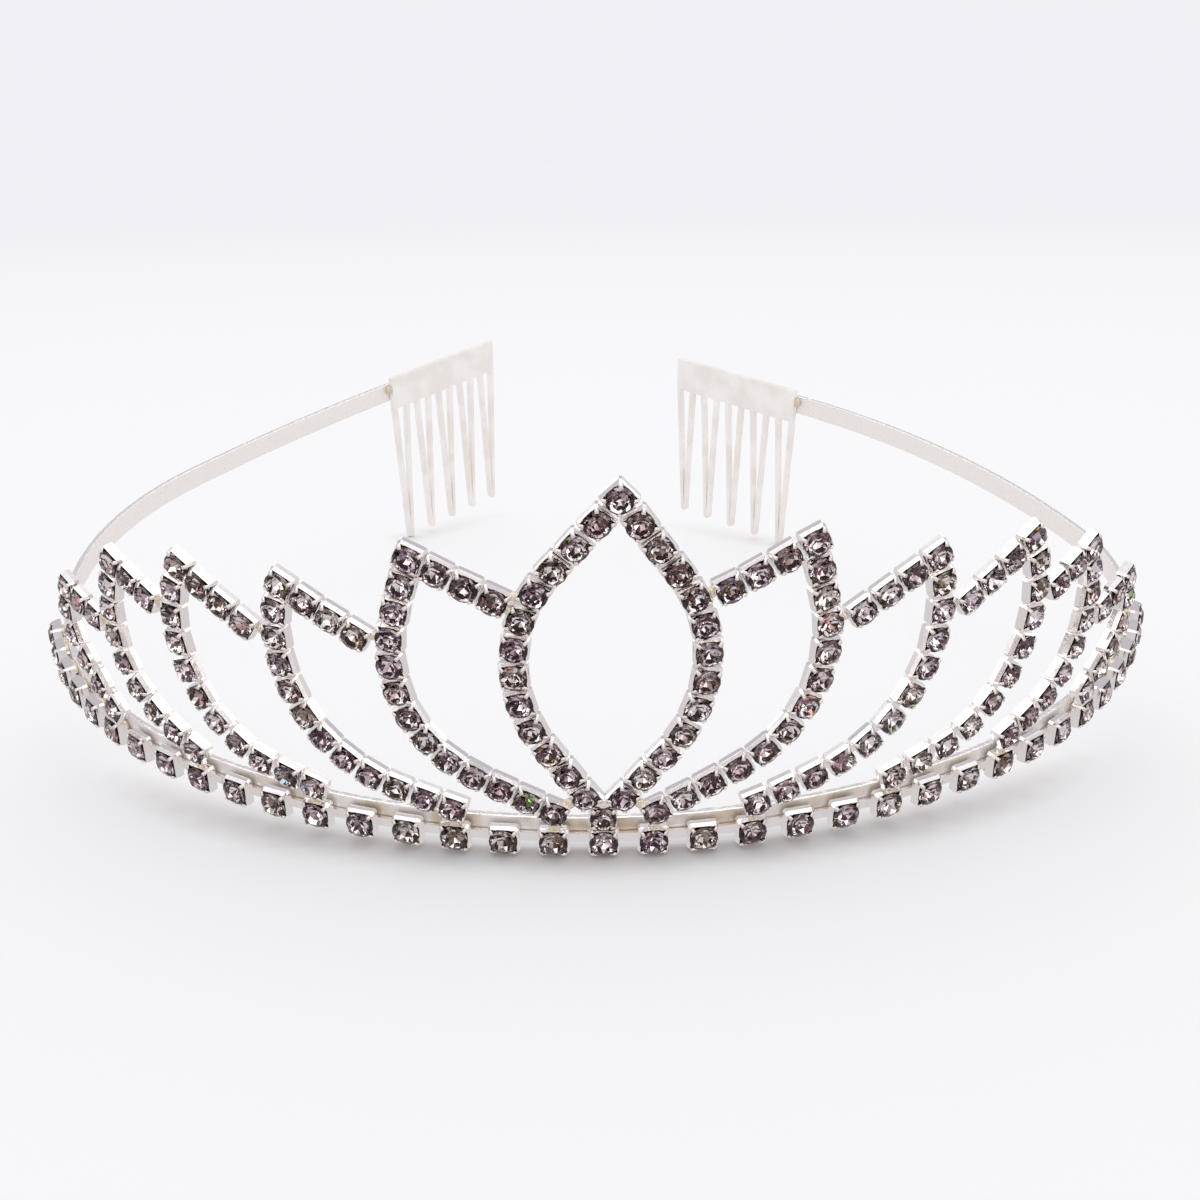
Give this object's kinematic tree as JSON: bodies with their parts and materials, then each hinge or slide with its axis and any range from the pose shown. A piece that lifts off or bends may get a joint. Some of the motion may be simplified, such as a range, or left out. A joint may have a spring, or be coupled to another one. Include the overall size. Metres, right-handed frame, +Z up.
{
  "type": "rhinestone tiara",
  "caption": "Open tiara of leaf-shaped petals in rhinestone cup chain on a sprung headband, with a hair comb at each end.",
  "frame": {"origin": "on the surface that the tiara stands on, under the middle of its bounding box", "axes": "-Y is the front that the stones face, +Y towards the combs, +X to the right as seen from the front, +Z up"},
  "size_m": [0.1345, 0.1477, 0.0397],
  "materials": {
    "cup_plate": "bright silver plating on stamped cups",
    "band_plate": "warm silver plating on flat strip, with light wear",
    "rhinestone": "clear faceted glass with a foil back"
  },
  "bodies": {
    "root": {"headband": "band_plate", "left_comb": "band_plate", "right_comb": "band_plate", "base_row_cups": "cup_plate", "base_row_stones": "rhinestone", "centre_petal_cups": "cup_plate", "centre_petal_stones": "rhinestone", "left_petal_1_cups": "cup_plate", "left_petal_1_stones": "rhinestone", "right_petal_1_cups": "cup_plate", "right_petal_1_stones": "rhinestone", "left_petal_2_cups": "cup_plate", "left_petal_2_stones": "rhinestone", "right_petal_2_cups": "cup_plate", "right_petal_2_stones": "rhinestone", "left_petal_3_cups": "cup_plate", "left_petal_3_stones": "rhinestone", "right_petal_3_cups": "cup_plate", "right_petal_3_stones": "rhinestone", "left_petal_4_cups": "cup_plate", "left_petal_4_stones": "rhinestone", "right_petal_4_cups": "cup_plate", "right_petal_4_stones": "rhinestone", "left_petal_5_cups": "cup_plate", "left_petal_5_stones": "rhinestone", "right_petal_5_cups": "cup_plate", "right_petal_5_stones": "rhinestone"}
  },
  "joints": []
}
